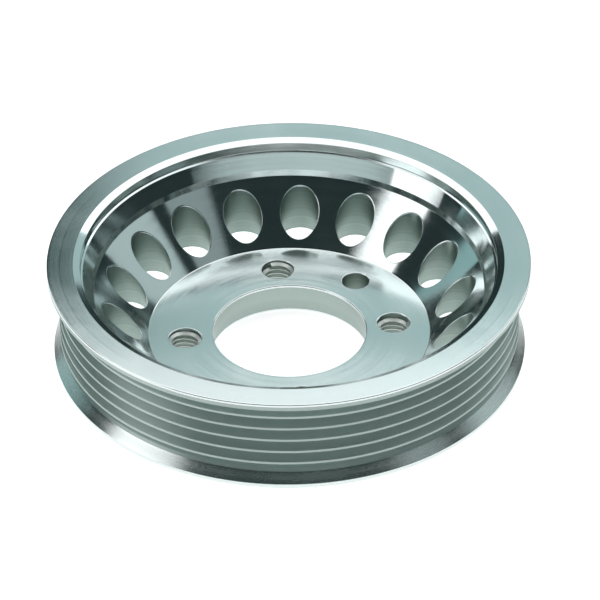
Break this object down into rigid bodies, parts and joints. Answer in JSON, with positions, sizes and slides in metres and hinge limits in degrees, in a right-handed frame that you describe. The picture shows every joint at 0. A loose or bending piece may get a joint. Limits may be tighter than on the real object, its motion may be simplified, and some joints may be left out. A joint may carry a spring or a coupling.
{
  "type": "multi-rib belt pulley",
  "caption": "Dished multi-rib belt pulley with a bolted hub plate, a cone web with lightening holes and wire thread inserts, which drives a supercharger.",
  "frame": {"origin": "centre of the bore at the hub's back face, which is the lowest face of the part", "axes": "+Z along the bore's axis towards the open side of the dish, +X through one bolt hole"},
  "size_m": [0.124, 0.124, 0.031],
  "materials": {
    "billet_aluminium": "turned",
    "insert_wire": "drawn wire"
  },
  "bodies": {
    "root": {"pulley_body": "billet_aluminium", "thread_insert_1": "insert_wire", "thread_insert_2": "insert_wire", "thread_insert_3": "insert_wire", "thread_insert_4": "insert_wire"}
  },
  "joints": []
}
